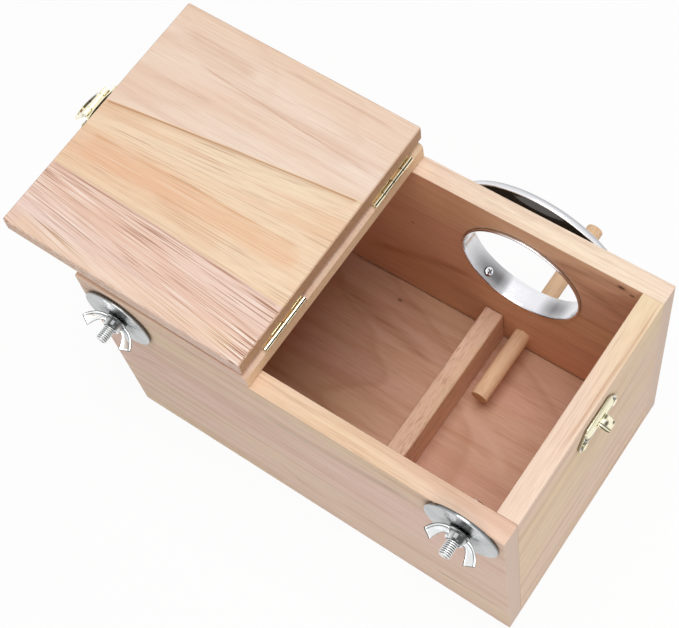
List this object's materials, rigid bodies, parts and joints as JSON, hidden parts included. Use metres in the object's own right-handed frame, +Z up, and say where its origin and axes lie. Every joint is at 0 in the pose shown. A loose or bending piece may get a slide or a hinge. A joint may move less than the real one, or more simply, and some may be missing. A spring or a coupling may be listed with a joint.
{
  "type": "bird nest box",
  "caption": "Wooden bird nest box that clamps to a cage: folding lid with hasp and catch, low inner divider, steel entrance ring, perch, and bolts with washers and wing nuts.",
  "frame": {"origin": "centre of the box's underside, on the plane that it stands on", "axes": "+Z up, +X along the box's length from the hasp end to the nest end, +Y out of the back wall that is clamped to a cage, so the entrance and the perch face -Y"},
  "size_m": [0.2561, 0.1888, 0.1377],
  "materials": {
    "wall_wood": "sanded bare pale hardwood",
    "lid_wood": "sanded bare wood, edge-glued strips",
    "perch_wood": "sanded bare dowel",
    "brass": "polished pale brass plate",
    "stainless_steel": "spun bright stainless sheet",
    "zinc_steel": "bright zinc plate"
  },
  "bodies": {
    "box": {"front_wall": "wall_wood", "back_wall": "wall_wood", "hasp_end_wall": "wall_wood", "nest_end_wall": "wall_wood", "floor_panel": "wall_wood", "divider": "wall_wood", "fixed_lid": "lid_wood", "perch": "perch_wood", "back_hinge_fixed_leaf": "brass", "back_hinge_pin": "brass", "front_hinge_fixed_leaf": "brass", "front_hinge_pin": "brass", "fixed_leaf_screw_1": "brass", "fixed_leaf_screw_2": "brass", "fixed_leaf_screw_3": "brass", "fixed_leaf_screw_4": "brass", "catch_plate": "brass", "catch_screw_1": "brass", "catch_screw_2": "brass", "entrance_ring": "stainless_steel", "ring_screw_1": "stainless_steel", "ring_screw_2": "stainless_steel", "hasp_end_bolt": "zinc_steel", "nest_end_bolt": "zinc_steel"},
    "opening_lid": {"hinged_lid": "lid_wood", "back_hinge_lid_leaf": "brass", "front_hinge_lid_leaf": "brass", "lid_leaf_screw_1": "brass", "lid_leaf_screw_2": "brass", "lid_leaf_screw_3": "brass", "lid_leaf_screw_4": "brass", "hasp_plate": "brass", "hasp_pin": "brass", "hasp_screw_1": "brass", "hasp_screw_2": "brass"},
    "loop": {"hasp_loop": "brass"},
    "hasp_side_washer": {"hasp_end_washer": "zinc_steel"},
    "hasp_side_nut": {"hasp_end_wing_nut": "zinc_steel"},
    "nest_side_washer": {"nest_end_washer": "zinc_steel"},
    "nest_side_nut": {"nest_end_wing_nut": "zinc_steel"}
  },
  "joints": [
    {"name": "lid_hinge", "type": "hinge", "parent": "box", "child": "opening_lid", "pos_m": [0.0146, 0, 0.12335], "axis": [0, -1, 0], "range_deg": [0, 177.5]},
    {"name": "loop_hinge", "type": "hinge", "parent": "opening_lid", "child": "loop", "pos_m": [0.13566, -0.0025, 0.13609], "axis": [0, -1, 0], "range_deg": [-48, 150]},
    {"name": "hasp_side_washer_slide", "type": "slide", "parent": "box", "child": "hasp_side_washer", "axis": [0, 1, 0], "range_m": [0, 0.006]},
    {"name": "hasp_side_nut_turn", "type": "hinge", "parent": "hasp_side_washer", "child": "hasp_side_nut", "pos_m": [-0.0819, 0.0629, 0.1046], "axis": [0, 1, 0], "range_deg": [0, 2740]},
    {"name": "nest_side_washer_slide", "type": "slide", "parent": "box", "child": "nest_side_washer", "axis": [0, 1, 0], "range_m": [0, 0.006]},
    {"name": "nest_side_nut_turn", "type": "hinge", "parent": "nest_side_washer", "child": "nest_side_nut", "pos_m": [0.0819, 0.0629, 0.1046], "axis": [0, 1, 0], "range_deg": [0, 2740]}
  ],
  "couplings": [
    {"joint": "hasp_side_nut_turn", "follows": "hasp_side_washer_slide", "rad_per_m": 7854},
    {"joint": "nest_side_nut_turn", "follows": "nest_side_washer_slide", "rad_per_m": 7854}
  ]
}
